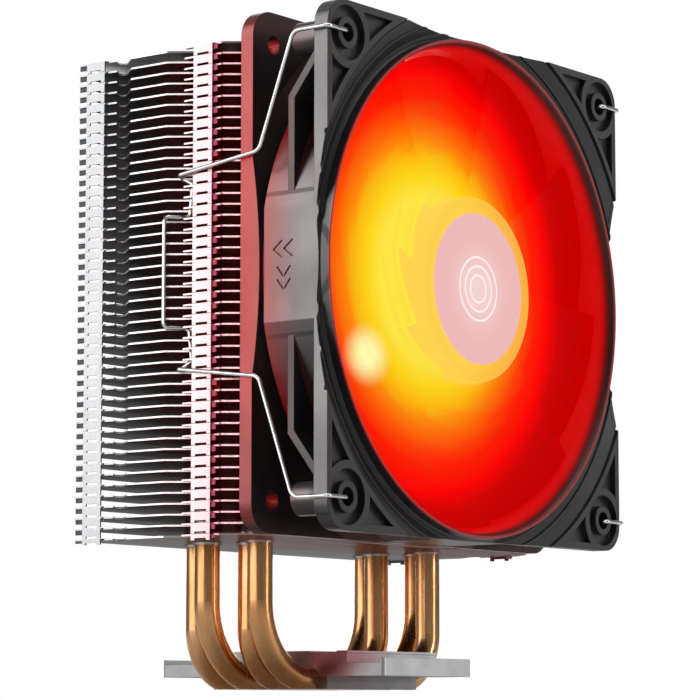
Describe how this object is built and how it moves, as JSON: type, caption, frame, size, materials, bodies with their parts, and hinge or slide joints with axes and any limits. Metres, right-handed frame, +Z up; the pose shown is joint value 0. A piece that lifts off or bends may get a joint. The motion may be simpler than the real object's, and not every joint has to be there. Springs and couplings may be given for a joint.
{
  "type": "cpu tower cooler",
  "caption": "Tower processor cooler: aluminium fins on U-shaped copper heat pipes, a direct-touch base and a clipped-on axial fan with a red-lit impeller.",
  "frame": {"origin": "centre of the contact face that presses on the processor", "axes": "+Z up along the tower, -Y towards the fan's intake, +X to the right when looking at the fan's front"},
  "size_m": [0.126, 0.0851, 0.1545],
  "materials": {
    "fin_aluminium": "satin rolled sheet",
    "base_aluminium": "machined",
    "copper": "satin copper",
    "frame_plastic": "fine moulded texture",
    "impeller_plastic": "translucent",
    "label_film": "satin film",
    "spring_wire": "polished",
    "brass": "turned",
    "sintered_bronze": "porous",
    "seal_rubber": "matte",
    "bearing_plastic": "smooth",
    "electrical_steel": "laminated",
    "yoke_steel": "zinc plated",
    "shaft_steel": "ground",
    "tinned_steel": "tinned",
    "magnet": "bonded ferrite",
    "insulator": "moulded",
    "winding": "enamelled copper wire",
    "board_laminate": "solder mask",
    "component_plastic": "moulded epoxy",
    "capacitor_ceramic": "ceramic",
    "led_lens": "clear resin"
  },
  "bodies": {
    "root": {"base_block": "base_aluminium", "heat_pipe_1": "copper", "heat_pipe_2": "copper", "heat_pipe_3": "copper", "heat_pipe_4": "copper", "fin_top": "fin_aluminium", "fins_upper": "fin_aluminium", "fins_upper_middle": "fin_aluminium", "fins_lower_middle": "fin_aluminium", "fins_lower": "fin_aluminium", "fin_bottom": "fin_aluminium", "fan_frame": "frame_plastic", "bearing_tube": "brass", "sleeve_bearing": "sintered_bronze", "oil_seal": "seal_rubber", "thrust_washer": "bearing_plastic", "stator_core": "electrical_steel", "stator_insulator_front": "insulator", "stator_insulator_rear": "insulator", "terminal_pins": "tinned_steel", "coil_1": "winding", "coil_2": "winding", "coil_3": "winding", "coil_4": "winding", "circuit_board": "board_laminate", "driver_chip": "component_plastic", "hall_sensor": "component_plastic", "board_capacitor": "capacitor_ceramic", "leds": "led_lens", "rear_label": "label_film", "wire_clip_left": "spring_wire", "wire_clip_right": "spring_wire"},
    "rotor": {"impeller": "impeller_plastic", "hub_label": "label_film", "rotor_yoke": "yoke_steel", "ring_magnet": "magnet", "shaft_bush": "brass", "shaft": "shaft_steel", "retaining_ring": "spring_wire"}
  },
  "joints": [
    {"name": "fan_spin", "type": "hinge", "parent": "root", "child": "rotor", "pos_m": [0, 0, 0.0945], "axis": [0, -1, 0], "continuous": true}
  ]
}
